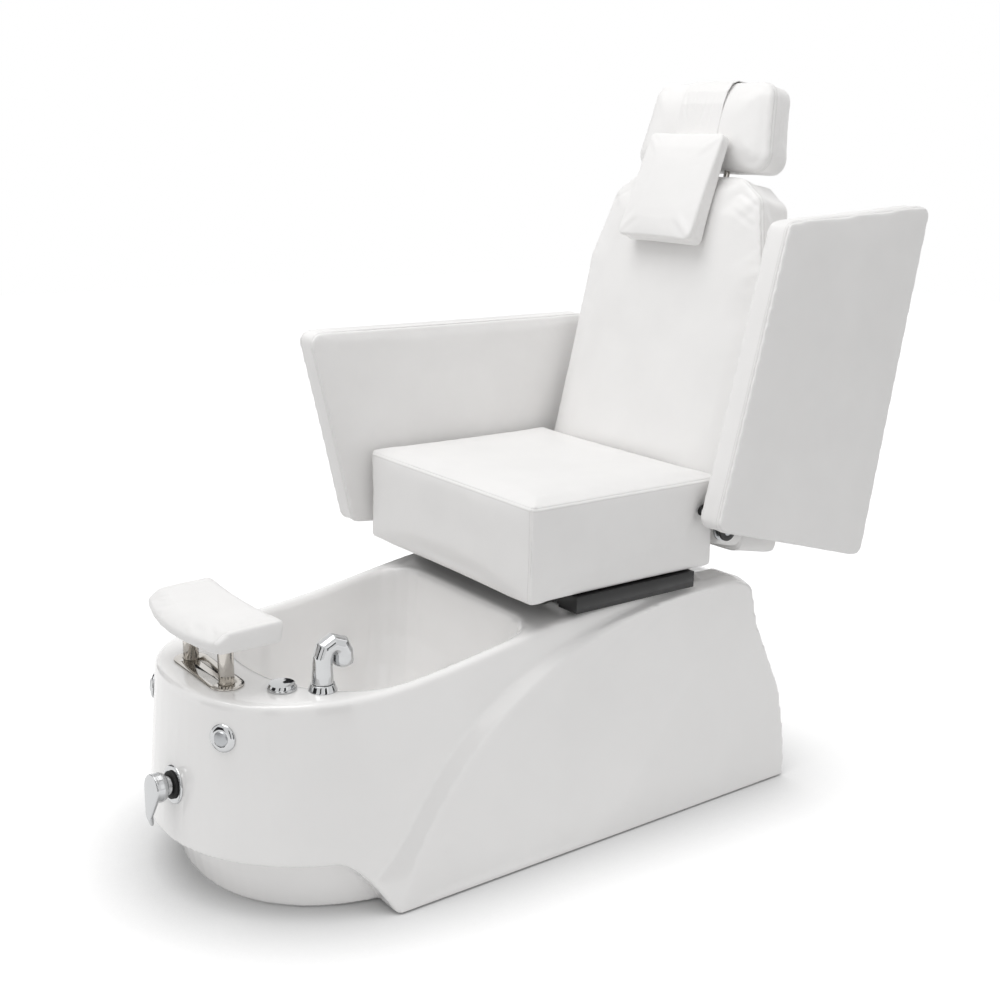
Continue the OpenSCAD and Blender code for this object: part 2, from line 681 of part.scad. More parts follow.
// Deck knob that lifts the waste plug
module drain_knob_seat() color(steel) place() translate([knob_x, knob_y, deck_z]) difference() {
    union() {
        cylinder(r = knob_r, h = knob_seat_h);
        translate([0, 0, -3 * wall]) cylinder(r = knob_hole_r - fit_gap, h = 3 * wall + eps);
    }
    translate([0, 0, -4 * wall]) cylinder(r = stud_r + run_gap, h = 6 * wall);
}
module drain_knob() color(steel) place() translate([knob_x, knob_y, deck_z]) {
    translate([0, 0, knob_seat_h + fit_gap])
        cylinder(r1 = knob_r * 0.96, r2 = knob_r * 0.86, h = knob_h);
    translate([0, 0, -2 * wall]) cylinder(r = stud_r, h = 2 * wall + knob_h);
}
knob_seat_h = 5;
knob_h = 6;

// Handset with its conical flange
stem_r = 12;
stem_l = 32;
flange_h = 12;
module shower_flange() color(steel) place() translate([shower_x, shower_y, deck_z]) difference() {
    union() {
        cylinder(r1 = shower_r, r2 = shower_r * 0.8, h = flange_h);
        translate([0, 0, -3 * wall]) cylinder(r = shower_hole_r - fit_gap, h = 3 * wall + eps);
    }
    translate([0, 0, -4 * wall]) cylinder(r = stem_r + run_gap, h = 8 * wall);
}
// Side view of the handset: y, z and radius along its body
hand_path = [[0, 0, 18.5], [0, 14, 18.2], [0, 30, 17], [0.5, 44, 16.6], [5.6, 59, 17],
    [19, 66, 17.6], [32.4, 60.4, 18.2], [38, 47, 18.6], [38.5, 36, 18.8], [38.5, 28, 17.6],
    [38.5, 24, 13]];
hand_last = len(hand_path) - 1;
function hand_heading(i) = let(a = hand_path[max(i - 1, 0)], b = hand_path[min(i + 1, hand_last)])
    unit([b.x - a.x, b.y - a.y]);
function hand_ring(i) = let(p = hand_path[i], d = hand_heading(i)) [for (k = [0:15])
    let(g = 360 / 16 * k) [p.z * cos(g), p.x + p.z * sin(g) * d.y, p.y - p.z * sin(g) * d.x]];
module shower_handset() color(steel) place() translate([shower_x, shower_y, deck_z]) {
    translate([0, 0, flange_h - stem_l]) cylinder(r = stem_r, h = stem_l + 2);
    translate([0, 0, flange_h + fit_gap]) skin([for (i = [0:hand_last]) hand_ring(i)]);
}

// Air switches: two bezels with a sleeve, and a button in each
button_r = 13;
bezel_low_h = 1.5;
bezel_mid_h = 4;
bezel_h = 6;
button_dome_h = 2;
module air_frame(side) { on_bow(side * air_x, air_z) translate([0, 0, -seat_flat]) children(); }
module air_switches() color(steel) place() for (s = [-1, 1]) air_frame(s) difference() {
    union() {
        rotate_extrude() polygon([[0, 0], [air_r, 0], [air_r, bezel_low_h],
            [air_r * 0.9, bezel_mid_h], [air_r * 0.7, bezel_h], [0, bezel_h]]);
        translate([0, 0, -3 * wall]) cylinder(r = air_hole_r - fit_gap, h = 3 * wall + eps);
    }
    translate([0, 0, -2 * wall]) cylinder(r = button_r + run_gap, h = 4 * wall);
}
module air_button(side) color(steel) place() air_frame(side) {
    translate([0, 0, -wall]) cylinder(r = button_r, h = wall + bezel_h);
    translate([0, 0, bezel_h]) cylinder(r1 = button_r, r2 = button_r * 0.86, h = button_dome_h);
}
module air_button_right() air_button(1);
module air_button_left() air_button(-1);

// Mixer: cover plate, black gasket, valve behind the wall and a lever that turns
mixer_plate_t = 3;
gasket_r = 24;
gasket_t = 4;
gasket_bore_r = 14;
spindle_r = 8;
neck_r = 17;
neck_l = 12;
hub_r2 = 26;
hub_l = 24;
paddle_l = 62;
paddle_r = 10;
paddle_t = 5;
module mixer_frame() { on_bow(mixer_x, mixer_z) translate([0, 0, -seat_flat]) children(); }
module mixer_plate() color(steel) place() mixer_frame() difference() {
    cylinder(r1 = mixer_r, r2 = mixer_r * 0.93, h = mixer_plate_t);
    translate([0, 0, -over]) cylinder(r = valve_r + press_gap, h = 4 * over);
}
module mixer_gasket() color(black) place() mixer_frame() translate([0, 0, mixer_plate_t])
    difference() {
        cylinder(r = gasket_r, h = gasket_t);
        translate([0, 0, -over]) cylinder(r = gasket_bore_r, h = 4 * over);
    }
module mixer_valve() color("goldenrod") place() mixer_frame() {
    difference() {
        translate([0, 0, -valve_l]) cylinder(r = valve_r, h = valve_l + mixer_plate_t);
        translate([0, 0, -valve_l / 2]) cylinder(r = spindle_r + run_gap, h = valve_l);
    }
    for (s = [-1, 1]) translate([0, 0, -valve_l * 0.7]) rotate([0, s * 90, 0])
        cylinder(r = spindle_r * 1.2, h = valve_r + 2 * spindle_r);
}
valve_l = 60;
valve_r = 20;
module mixer_lever() color(steel) place() mixer_frame() {
    translate([0, 0, -valve_l / 2 + spindle_r / 4])
        cylinder(r = spindle_r, h = valve_l / 2 + spindle_r * 1.25);
    translate([0, 0, mixer_plate_t + gasket_t + fit_gap]) cylinder(r = neck_r, h = neck_l);
    translate([0, 0, mixer_plate_t + gasket_t + fit_gap + neck_l - eps]) {
        cylinder(r1 = hub_r2 * 0.9, r2 = hub_r2, h = hub_l * 0.3);
        translate([0, 0, hub_l * 0.3]) cylinder(r1 = hub_r2, r2 = hub_r2 * 0.94, h = hub_l * 0.6);
        hull() {
            translate([0, 0, hub_l * 0.68]) cylinder(r = hub_r2 * 0.96, h = hub_l * 0.25, $fn = 32);
            translate([0, -paddle_l * 0.72, hub_l * 0.86])
                cylinder(r = paddle_r, h = paddle_t, $fn = 32);
        }
        hull() {
            translate([0, -paddle_l * 0.7, hub_l * 0.86])
                cylinder(r = paddle_r, h = paddle_t, $fn = 32);
            translate([0, -paddle_l, hub_l * 0.66])
                cylinder(r = paddle_r / 2, h = paddle_t * 0.8, $fn = 32);
        }
    }
}

// Footrest: a polished plate with two guide tubes, two posts that slide in them, and a saddle pad
post_visible_l = 80;
post_hidden_l = 84;
module footrest_plate() color(steel) place() translate([0, plate_y, deck_z]) difference() {
    union() {
        linear_extrude(rest_plate_t) union() {
            for (x = [-1, 1]) translate([x * post_x, 0]) circle(r = rest_plate_r);
            square([2 * post_x, 2 * rest_plate_r], center = true);
        }
        for (x = [-1, 1]) translate([x * post_x, 0, -post_hole_depth])
            cylinder(r = post_r + post_sleeve_t, h = post_hole_depth + eps);
    }
    for (x = [-1, 1]) translate([x * post_x, 0, -post_hole_depth - over])
        cylinder(r = post_r + run_gap, h = post_hole_depth + 4 * over);
}
module footrest_posts() color(steel) place() for (x = [-1, 1])
    translate([x * post_x, plate_y, deck_z - post_hidden_l]) {
        cylinder(r = post_r, h = post_hidden_l + post_visible_l);
        translate([0, 0, post_hidden_l + post_visible_l - sheet])
            cylinder(r = 1.5 * post_r, h = sheet);
    }
rest_z = deck_z + post_visible_l;
rest_front = -536;
rest_rear = -408;
rest_bow = 26;
rest_saddle = 7;
rest_edge = 7;
rest_foot_in = 8;
rest_rear_drop = 5;
rest_nose_in = 26;
rest_nose_drop = 8;
rest_side_shares = [[-1, 1], [-0.985, 0.45], [-0.95, 0.1], [-0.86, 0], [-0.6, 0], [-0.3, 0],
    [0, 0], [0.3, 0], [0.6, 0], [0.86, 0], [0.95, 0.1], [0.985, 0.45], [1, 1]];
function rest_section(s) = let(x = s[0] * rest_w / 2, d = s[1] * rest_edge,
    f = rest_front + d - rest_bow * (1 - s[0] * s[0]), b = rest_rear - d,
    z0 = rest_z + d, z1 = rest_z + rest_h - d - rest_saddle * (1 - s[0] * s[0]),
    P = [[f + rest_foot_in, z0], [b - rest_foot_in, z0], [b, z1 - rest_rear_drop],
        [f + rest_nose_in, z1 - rest_nose_drop], [f, mix(z0, z1, 0.45)]])
    [for (i = [0:4]) each [for (p = round_corner(P[(i + 4) % 5], P[i], P[(i + 1) % 5],
        rest_corner_rs[i], 4)) [x, p.x, p.y]]];
module footrest_pad() color(leather) place()
    skin([for (s = rest_side_shares) rest_section(s)]);
rest_corner_rs = [6, 8, 10, 18, 10];

// Seat slide, carriage and box
module slide_rails() color(steel) place() for (x = [-1, 1])
    translate([x * rail_x, rail_y, pedestal_z]) {
        translate([-rail_w / 2, 0, 0]) cube([rail_w, rail_l, sheet]);
        translate([-rail_w / 4, 0, 0]) cube([rail_w / 2, rail_l, rail_h]);
    }
module seat_carriage() color(black) place() {
    z0 = pedestal_z + pan_floor_gap;
    z1 = seat_bottom_z;
    difference() {
        translate([-seat_hw, pan_front, z0]) cube([seat_w, pan_l, z1 - z0]);
        translate([-seat_hw + sheet, pan_front + sheet, z0 - over])
            cube([seat_w - 2 * sheet, pan_l + slide_travel, z1 - z0 + over - sheet]);
        for (x = [-1, 1]) translate([x * rail_x - rail_w / 2 - fit_gap, pan_front - over, z0 - over])
            cube([rail_w + 2 * fit_gap, sheet + 2 * over,
                pedestal_z + rail_h + fit_gap - z0 + over]);
    }
    for (x = [-1, 1]) translate([x * rail_x, 0, 0]) difference() {
        translate([-rail_w / 2 - sheet, pan_front + sheet, z0 + rail_h / 3])
            cube([rail_w + 2 * sheet, pan_l - sheet, z1 - z0 - rail_h / 3]);
        translate([-rail_w / 4 - run_gap, 0, z0 - over])
            cube([rail_w / 2 + 2 * run_gap, pan_l * 2,
                pedestal_z + rail_h + run_gap - z0 + over]);
    }
}
module seat_board() color(black) place()
    translate([-seat_hw + board_inset, board_inset, seat_bottom_z])
        cube([seat_w - 2 * board_inset, seat_d - 2 * board_inset, board_h]);
// The board lies in a pocket in the seat's underside
module board_pocket()
    translate([-seat_hw + board_inset - press_gap, board_inset - press_gap, seat_bottom_z - over])
        cube([seat_w - 2 * (board_inset - press_gap), seat_d - 2 * (board_inset - press_gap),
            board_h + press_gap + over]);
seat_edge = 7;
seat_crown = 8;
seat_corner_r = 9;
seat_reach = 150;
soft_draw = 2;         // how far a cushion's sides are drawn in at half their depth
module seat_cushion() color(leather) place() difference() {
    P = [[-seat_hw, 0], [seat_hw, 0], [seat_hw, seat_d], [-seat_hw, seat_d]];
    translate([0, 0, seat_top_z])
        cushion(P, seat_corner_r, 0, seat_box_h, seat_d, seat_box_h, seat_edge, seat_crown,
            soft_draw, seat_reach, 0, 4, 8);
    board_pocket();
    both_sides() for (b = [bolt_a, bolt_b]) translate([seat_hw - bolt_depth, b.x, b.y])
        rotate([0, 90, 0]) cylinder(r = bolt_r / 2 + press_gap, h = 2 * bolt_depth);
}
bolt_depth = 30;

// Steel plates beside the seat that carry the backrest and the arms
module link(a, ra, b, rb) {
    d = norm(b - a);
    g = atan2(b.y - a.y, b.x - a.x);
    k = acos((ra - rb) / d);
    translate(a) circle(r = ra);
    translate(b) circle(r = rb);
    polygon([a + ra * [cos(g + k), sin(g + k)], a + ra * [cos(g - k), sin(g - k)],
        b + rb * [cos(g - k), sin(g - k)], b + rb * [cos(g + k), sin(g + k)]]);
}
pivot = [arm_pivot_y, arm_pivot_z];
recline = [recline_y, recline_z];
bolt_a = [bolt_y, bolt_z];
bolt_step = [34, 12];
bolt_b = bolt_a + bolt_step;
link_rs = [9, 13, 20, 26];
bolt_head_t = 3;
bolt_slack = 1;
module hinge_plates() color(black) place() both_sides() translate([plate_x, 0, 0])
    along_x() linear_extrude(plate_t) difference() {
        union() {
            link(bolt_a, link_rs[0], bolt_b, link_rs[1]);
            link(bolt_b, link_rs[1], recline, link_rs[2]);
            link(recline, link_rs[2], pivot, link_rs[3]);
        }
        translate(pivot) circle(r = arm_pin_r + run_gap);
        translate(recline) circle(r = recline_pin_r + run_gap);
        translate(bolt_a) circle(r = bolt_r / 2 + run_gap);
        translate(bolt_b) circle(r = bolt_r / 2 + run_gap);
    }
module hinge_bolts() color(steel) place() both_sides() for (b = [bolt_a, bolt_b])
    translate([plate_x + plate_t, b.x, b.y]) rotate([0, 90, 0]) {
        translate([0, 0, seat_hw - bolt_depth + bolt_slack - plate_x - plate_t])
            cylinder(r = bolt_r / 2,
                h = plate_x + plate_t + bolt_depth - seat_hw - bolt_slack + eps);
        cylinder(r = bolt_r, h = bolt_head_t);
    }
module arm_pins() color(steel) place() both_sides()
    translate([plate_x - pin_head_t, arm_pivot_y, arm_pivot_z]) rotate([0, 90, 0]) {
        cylinder(r = arm_pin_r * 1.4, h = pin_head_t);
        cylinder(r = arm_pin_r, h = arm_in - plate_x + pin_head_t / 2);
    }
pin_head_t = 2;

// Backrest: cushion, rear housing and the ears it turns on
back_edge = 12;
back_crown = 10;
back_corner_r = 26;
back_reach = 120;
back_outline = [[-back_foot_w / 2, -back_drop], [back_foot_w / 2, -back_drop],
    [back_waist_w / 2, back_shoulder_s], [back_neck_w / 2, back_neck_s],
    [back_top_w / 2, back_h], [-back_top_w / 2, back_h], [-back_neck_w / 2, back_neck_s],
    [-back_waist_w / 2, back_shoulder_s]];
module back_cushion() color(leather) place() difference() {
    on_back() cushion(back_outline, back_corner_r, 0, back_t, back_h, back_t, back_edge,
        back_crown, soft_draw, back_reach, 0, 3, 4);
    seat_relief();
    on_back() for (x = [-1, 1]) translate([x * rod_x, back_h - sleeve_l - over, -rod_depth])
        rotate([-90, 0, 0]) cylinder(r = sleeve_r + press_gap, h = sleeve_l + 4 * over);
    both_sides() ear_pocket();
}
// Room for the seat's rear in front of the backrest's foot
module seat_relief() {
    translate([-seat_hw - over, recline_y, recline_z]) rotate([relief_tilt, 0, 0])
        translate([0, -relief_l - relief_gap, -relief_l])
            cube([seat_w + 2 * over, relief_l, relief_l + seat_top_z - recline_z]);
}
relief_tilt = 6;
relief_gap = 8;
relief_l = 200;
ear_depth = 7;
module ear_pocket() {
    translate([back_foot_w / 2 - ear_depth, recline_y, recline_z]) rotate([0, 90, 0])
        cylinder(r = ear_r + fit_gap, h = 4 * ear_depth);
}
module back_ears() color(steel) place() both_sides()
    translate([0, recline_y, recline_z]) rotate([0, 90, 0]) {
        translate([0, 0, back_foot_w / 2 - ear_depth]) cylinder(r = ear_r, h = ear_t);
        translate([0, 0, back_foot_w / 2 - ear_depth])
            cylinder(r = recline_pin_r, h = plate_x + plate_t - back_foot_w / 2 + ear_depth);
    }
module back_housing() color(leather) place() on_back() translate([0, 0, -back_t]) {
    low = -back_drop + housing_low_in;
    foot = back_foot_w / 2 - housing_foot_in;
    waist = back_waist_w / 2 - housing_waist_in;
    top = back_h - housing_top_in;
    P = [[-foot, low], [foot, low], [waist, back_shoulder_s], [back_top_w / 2, top],
        [-back_top_w / 2, top], [-waist, back_shoulder_s]];
    cushion(P, housing_corner_r, -back_drop, housing_t, back_h, housing_top_t, housing_edge, 0, 0,
        housing_reach, housing_crown, 3, 3);
}
housing_low_in = -9;
housing_foot_in = 8;
housing_waist_in = 14;
housing_top_in = 30;
housing_corner_r = 24;
housing_edge = 5;
housing_reach = 60;
housing_crown = 2;
module rod_sleeves() color(black) place() on_back() for (x = [-1, 1])
    translate([x * rod_x, back_h - sleeve_l, -rod_depth]) rotate([-90, 0, 0]) difference() {
        union() {
            cylinder(r = sleeve_r, h = sleeve_l + eps);
            translate([0, 0, sleeve_l]) cylinder(r = sleeve_r + sheet, h = soft_draw);
        }
        translate([0, 0, -over]) cylinder(r = rod_r + run_gap, h = sleeve_l + 3 * over);
    }

// Headrest on two rods, with the strap that goes over it
head_outline = [[-head_w / 2, 0], [head_w / 2, 0], [head_top_w / 2, head_h],
    [-head_top_w / 2, head_h]];
module headrest_rods() color(steel) place() on_back() for (x = [-1, 1])
    translate([x * rod_x, back_h - rod_l + rod_top, -rod_depth]) rotate([-90, 0, 0])
        cylinder(r = rod_r, h = rod_l);
module headrest_cushion() color(leather) place() difference() {
    on_head() cushion(head_outline, head_corner_r, 0, head_t - head_crown / 8, head_h,
        head_t - head_crown * 3 / 8, head_edge, head_crown, head_draw, head_reach,
        head_crown / 8, 5, 4);
    on_back() for (x = [-1, 1]) translate([x * rod_x, back_h - over, -rod_depth])
        rotate([-90, 0, 0]) cylinder(r = rod_r + press_gap, h = rod_top + 2 * over);
}
head_corner_r = 34;
head_edge = 14;
head_draw = 3;
head_reach = 60;
strap_gap = 0.02;
strap_low_s = 44;
strap_rear = head_t - head_crown / 16;
strap_end_s = 50;
function strap_path() = let(f = head_crown + strap_gap, b = -strap_rear) [
    [strap_low_s, f], [head_h * 0.72, f], [head_h * 0.86, f * 0.72], [head_h * 0.96, f * 0.14],
    [head_h * 1.0057, -head_t * 0.16], [head_h * 1.0125, -head_t * 0.42],
    [head_h * 1.008, -head_t * 0.68], [head_h * 0.9773, -head_t * 0.92],
    [head_h * 0.9, b], [strap_end_s, b]];
function off_path(P, d) = [for (i = [0:len(P) - 1]) let(
    a = P[max(i - 1, 0)], b = P[min(i + 1, len(P) - 1)], u = unit(b - a)) P[i] + d * [-u.y, u.x]];
module pillow_strap() color(leather) place() on_head() rotate([0, 90, 0]) rotate([0, 0, 90])
    translate([0, 0, -strap_w / 2]) linear_extrude(strap_w) {
        p = strap_path();
        q = off_path(p, strap_t);
        polygon(concat(p, [for (i = [len(q) - 1:-1:0]) q[i]]));
    }
pillow_lean = 22.5;
pillow_top_s = 65.96;   // the pillow's top edge above the headrest's bottom edge
pillow_top_t = 28;
pillow_corner_r = 14;
pillow_edge = 9;
pillow_crown = 5;
pillow_reach = 60;
pillow_back_crown = 1;
module neck_pillow() color(leather) place() on_head()
    translate([0, pillow_top_s, head_crown + strap_gap + strap_t
        + pillow_top_t * cos(pillow_lean - lean) + strap_gap * 3 / 4])
    rotate([lean - pillow_lean, 0, 0]) translate([0, -pillow_h, 0]) {
        P = [[-pillow_w / 2, 0], [pillow_w / 2, 0], [pillow_w / 2, pillow_h],
            [-pillow_w / 2, pillow_h]];
        cushion(P, pillow_corner_r, 0, pillow_t, pillow_h, pillow_top_t, pillow_edge,
            pillow_crown, soft_draw, pillow_reach, pillow_back_crown, 4, 4);
    }
module strap_weight() color(leather) place() on_head()
    translate([-weight_w / 2, weight_s, -strap_rear - strap_t - soft_gap - weight_t])
        cube([weight_w, weight_l, weight_t]);

// Arms: the pad's outline seen from the side, lowered, and a steel hub on the pin
arm_edge = 7;
arm_outline = [arm_front_low, arm_rear_low, arm_rear_top, arm_front_top];
arm_crown = 3;
arm_corner_r = 22;
arm_reach = 120;
module arm_pad() translate([arm_in, 0, 0]) along_x() translate([0, 0, arm_t - arm_crown])
    cushion(arm_outline, arm_corner_r, 0, arm_t - arm_crown, arm_t, arm_t - arm_crown, arm_edge,
        arm_crown, soft_draw, arm_reach, 0, 4, 5);
module arm_hub() translate([arm_in - hub_t, arm_pivot_y, arm_pivot_z])
    rotate([0, 90, 0]) difference() {
        cylinder(r = hub_r, h = hub_t);
        translate([0, 0, -over]) cylinder(r = arm_pin_r + run_gap, h = hub_t + 2 * over);
    }
module raised() {
    translate([0, arm_pivot_y, arm_pivot_z]) rotate([-arm_swing, 0, 0])
        translate([0, -arm_pivot_y, -arm_pivot_z]) children();
}
module arm_hub_left() color(steel) place() mirror([1, 0, 0]) arm_hub();
module arm_pad_left() color(leather) place() mirror([1, 0, 0]) arm_pad();
module arm_hub_right() color(steel) place() raised() arm_hub();
module arm_pad_right() color(leather) place() raised() arm_pad();

base_shell();
foot_basin();
rear_panel();
panel_screws();
frame_skids();
frame_legs();
frame_beams();
basin_cradles();
levelling_feet();
drain_flange();
drain_trap();
drain_plug();
jet_fitting();
jet_cover();
jet_impeller();
jet_motor();
drain_knob_seat();
drain_knob();
shower_flange();
shower_handset();
air_switches();
air_button_right();
air_button_left();
mixer_plate();
mixer_gasket();
mixer_valve();
mixer_lever();
footrest_plate();
footrest_posts();
footrest_pad();
slide_rails();
seat_carriage();
seat_board();
seat_cushion();
hinge_plates();
hinge_bolts();
arm_pins();
back_ears();
back_cushion();
back_housing();
rod_sleeves();
headrest_rods();
headrest_cushion();
pillow_strap();
neck_pillow();
strap_weight();
arm_hub_left();
arm_pad_left();
arm_hub_right();
arm_pad_right();
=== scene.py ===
import math
import bpy
import bmesh
from mathutils import Matrix, Vector, noise


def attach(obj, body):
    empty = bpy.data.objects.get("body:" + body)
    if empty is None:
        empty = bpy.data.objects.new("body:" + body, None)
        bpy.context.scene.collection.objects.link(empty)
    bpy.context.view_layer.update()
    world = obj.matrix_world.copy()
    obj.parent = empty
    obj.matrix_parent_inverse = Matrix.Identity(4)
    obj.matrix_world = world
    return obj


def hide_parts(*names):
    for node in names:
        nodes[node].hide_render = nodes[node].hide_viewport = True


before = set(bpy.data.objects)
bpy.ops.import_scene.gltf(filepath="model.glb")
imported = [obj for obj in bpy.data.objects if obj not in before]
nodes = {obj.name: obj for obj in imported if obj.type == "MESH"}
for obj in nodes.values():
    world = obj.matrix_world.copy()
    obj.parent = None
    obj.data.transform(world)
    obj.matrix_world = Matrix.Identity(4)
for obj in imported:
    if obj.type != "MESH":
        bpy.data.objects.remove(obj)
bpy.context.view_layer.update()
print("frame loaded:", len(nodes), "nodes")

mm = 0.001
up = Vector((0, 0, 1))


def newObject(name, mesh):
    obj = bpy.data.objects.new(name, mesh)
    bpy.context.scene.collection.objects.link(obj)
    return obj


def fromBmesh(name, bm, smooth=True):
    mesh = bpy.data.meshes.new(name)
    bm.to_mesh(mesh)
    bm.free()
    if smooth:
        mesh.shade_smooth()
    return newObject(name, mesh)


def frameOf(place, right, upward):
    # a face's own axes: x to its right, y up it, z out of it
    x, y = Vector(right).normalized(), Vector(upward).normalized()
    return Matrix.Translation(place) @ Matrix((x, y, x.cross(y))).transposed().to_4x4()


def bake(obj):
    # the evaluated mesh takes the modifiers' place
    graph = bpy.context.evaluated_depsgraph_get()
    mesh = bpy.data.meshes.new_from_object(obj.evaluated_get(graph))
    old = obj.data
    obj.modifiers.clear()
    obj.vertex_groups.clear()
    obj.data = mesh
    bpy.data.meshes.remove(old)
    mesh.shade_smooth()
    return obj


def weldedCopy(name, *nodeNames):
    bm = bmesh.new()
    for nodeName in nodeNames:
        bm.from_mesh(nodes[nodeName].data)
    bmesh.ops.remove_doubles(bm, verts=bm.verts, dist=0.01 * mm)
    return fromBmesh(name, bm)


def remeshed(obj, voxel, rounds, onto=None):
    # even faces of one size, in millimetres, smoothed a few rounds
    mod = obj.modifiers.new("voxels", "REMESH")
    mod.mode = "VOXEL"
    mod.voxel_size = voxel * mm
    mod.use_smooth_shade = True
    soft = obj.modifiers.new("soft", "SMOOTH")
    soft.factor = 0.5
    soft.iterations = rounds
    if onto:
        # the even faces lie back on the CAD surface, so no edge keeps the voxels' steps
        lay = obj.modifiers.new("lay", "SHRINKWRAP")
        lay.wrap_method = "NEAREST_SURFACEPOINT"
        lay.target = onto
    return bake(obj)


def subdivided(obj):
    mod = obj.modifiers.new("finer", "SUBSURF")
    mod.levels = mod.render_levels = 1
    return bake(obj)


def dressed(obj, body, material, *replaced, slot=None):
    obj.data.materials.clear()
    obj.data.materials.append(material)
    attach(obj, body)
    if replaced:
        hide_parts(*replaced)
    return obj


def linear(code):
    out = []
    for i in (0, 2, 4):
        c = int(code[i + 1:i + 3], 16) / 255
        out.append(c / 12.92 if c <= 0.04045 else ((c + 0.055) / 1.055) ** 2.4)
    return (*out, 1)


def addNode(tree, kind, links=None, values=None, **fields):
    node = tree.nodes.new(kind)
    for key, value in fields.items():
        setattr(node, key, value)
    for key, value in (values or {}).items():
        node.inputs[key].default_value = value
    for key, source in (links or {}).items():
        tree.links.new(source, node.inputs[key])
    return node


def startMaterial(name, color, roughness, **more):
    mat = bpy.data.materials.new(name)
    mat.use_nodes = True
    tree = mat.node_tree
    tree.nodes.clear()
    shader = addNode(tree, "ShaderNodeBsdfPrincipled", values={
        "Base Color": linear(color), "Roughness": roughness, **more})
    addNode(tree, "ShaderNodeOutputMaterial", links={"Surface": shader.outputs[0]})
    place = addNode(tree, "ShaderNodeTexCoord")
    return mat, tree, shader, place.outputs["Object"]


def mottle(tree, shader, where, dark, light, size):
    # a slow change of colour over the surface
    cloud = addNode(tree, "ShaderNodeTexNoise", links={"Vector": where},
                    values={"Scale": 1 / size, "Detail": 3.0})
    ramp = addNode(tree, "ShaderNodeValToRGB", links={"Fac": cloud.outputs["Fac"]})
    ramp.color_ramp.elements[0].position = 0.3
    ramp.color_ramp.elements[1].position = 0.7
    ramp.color_ramp.elements[0].color = linear(dark)
    ramp.color_ramp.elements[1].color = linear(light)
    tree.links.new(ramp.outputs["Color"], shader.inputs["Base Color"])


def varyRoughness(tree, shader, where, low, high, size):
    cloud = addNode(tree, "ShaderNodeTexNoise", links={"Vector": where},
                    values={"Scale": 1 / size, "Detail": 4.0})
    spread = addNode(tree, "ShaderNodeMapRange", links={"Value": cloud.outputs["Fac"]},
                     values={"From Min": 0.3, "From Max": 0.7, "To Min": low, "To Max": high})
    tree.links.new(spread.outputs["Result"], shader.inputs["Roughness"])


# gel-coat on glass-fibre laminate, sprayed in a polished mould: deep gloss, a faint orange peel
gelCoat, tree, shader, where = startMaterial(
    "gelCoatGloss", "#F9F8F7", 0.2, **{"IOR": 1.5, "Coat Weight": 0.5, "Coat Roughness": 0.05})
mottle(tree, shader, where, "#F7F6F5", "#FBFAF9", 180 * mm)
varyRoughness(tree, shader, where, 0.17, 0.23, 60 * mm)
peel = addNode(tree, "ShaderNodeTexNoise", links={"Vector": where},
               values={"Scale": 1 / (14 * mm), "Detail": 1.0})
bump = addNode(tree, "ShaderNodeBump", links={"Height": peel.outputs["Fac"]},
               values={"Strength": 0.12, "Distance": 0.25 * mm})
tree.links.new(bump.outputs["Normal"], shader.inputs["Normal"])

# PVC upholstery cloth, embossed with a fine hide grain: satin, soft highlights.
# The grain's cells are 0.9 mm on the real cloth and 1.6 mm here, so that they show
def upholstery(name, dark, light):
    mat, tree, shader, where = startMaterial(
        name, light, 0.46, **{"IOR": 1.48, "Sheen Weight": 0.06, "Sheen Roughness": 0.4})
    mottle(tree, shader, where, dark, light, 120 * mm)
    varyRoughness(tree, shader, where, 0.42, 0.52, 35 * mm)
    cells = addNode(tree, "ShaderNodeTexVoronoi", links={"Vector": where},
                    values={"Scale": 1 / (1.6 * mm)}, feature="SMOOTH_F1")
    pores = addNode(tree, "ShaderNodeTexNoise", links={"Vector": where},
                    values={"Scale": 1 / (5 * mm), "Detail": 4.0})
    both = addNode(tree, "ShaderNodeMath", operation="MULTIPLY_ADD",
                   links={0: pores.outputs["Fac"], 2: cells.outputs["Distance"]}, values={1: 0.8})
    bump = addNode(tree, "ShaderNodeBump", links={"Height": both.outputs[0]},
                   values={"Strength": 0.22, "Distance": 0.18 * mm})
    tree.links.new(bump.outputs["Normal"], shader.inputs["Normal"])
    return mat


vinyl = upholstery("vinylHideGrain", "#F2F1F0", "#F6F5F4")

# bonded polyester thread, twisted and dull: its off-white is darkened to grey as painted shade of the
# needle holes, so that it reads as a dotted grey line
thread, tree, shader, where = startMaterial("threadGreyedAsShade", "#BDBAB6", 0.7)
twist = addNode(tree, "ShaderNodeTexWave", links={"Vector": where},
                values={"Scale": 1 / (3 * mm), "Distortion": 1.5})
bump = addNode(tree, "ShaderNodeBump", links={"Height": twist.outputs["Fac"]},
               values={"Strength": 0.3, "Distance": 0.1 * mm})
tree.links.new(bump.outputs["Normal"], shader.inputs["Normal"])


# metals: a polished plate mirrors the room, a brushed one draws it out along the grain
def metal(name, color, low, high, cloudSize, scratchSize=None, strength=0.0, **more):
    mat, tree, shader, where = startMaterial(name, color, low, Metallic=1.0, **more)
    varyRoughness(tree, shader, where, low, high, cloudSize)
    if scratchSize:
        along = addNode(tree, "ShaderNodeMapping", links={"Vector": where},
                        values={"Scale": (1 / (scratchSize * 40), 1 / scratchSize, 1 / scratchSize)})
        lines = addNode(tree, "ShaderNodeTexNoise", links={"Vector": along.outputs[0]},
                        values={"Scale": 1.0, "Detail": 3.0})
        bump = addNode(tree, "ShaderNodeBump", links={"Height": lines.outputs["Fac"]},
                       values={"Strength": strength, "Distance": 0.05 * mm})
        tree.links.new(bump.outputs["Normal"], shader.inputs["Normal"])
    return mat


# bright nickel and chromium plate on cast brass
chrome = metal("chromePlate", "#C4C5C6", 0.05, 0.09, 20 * mm)
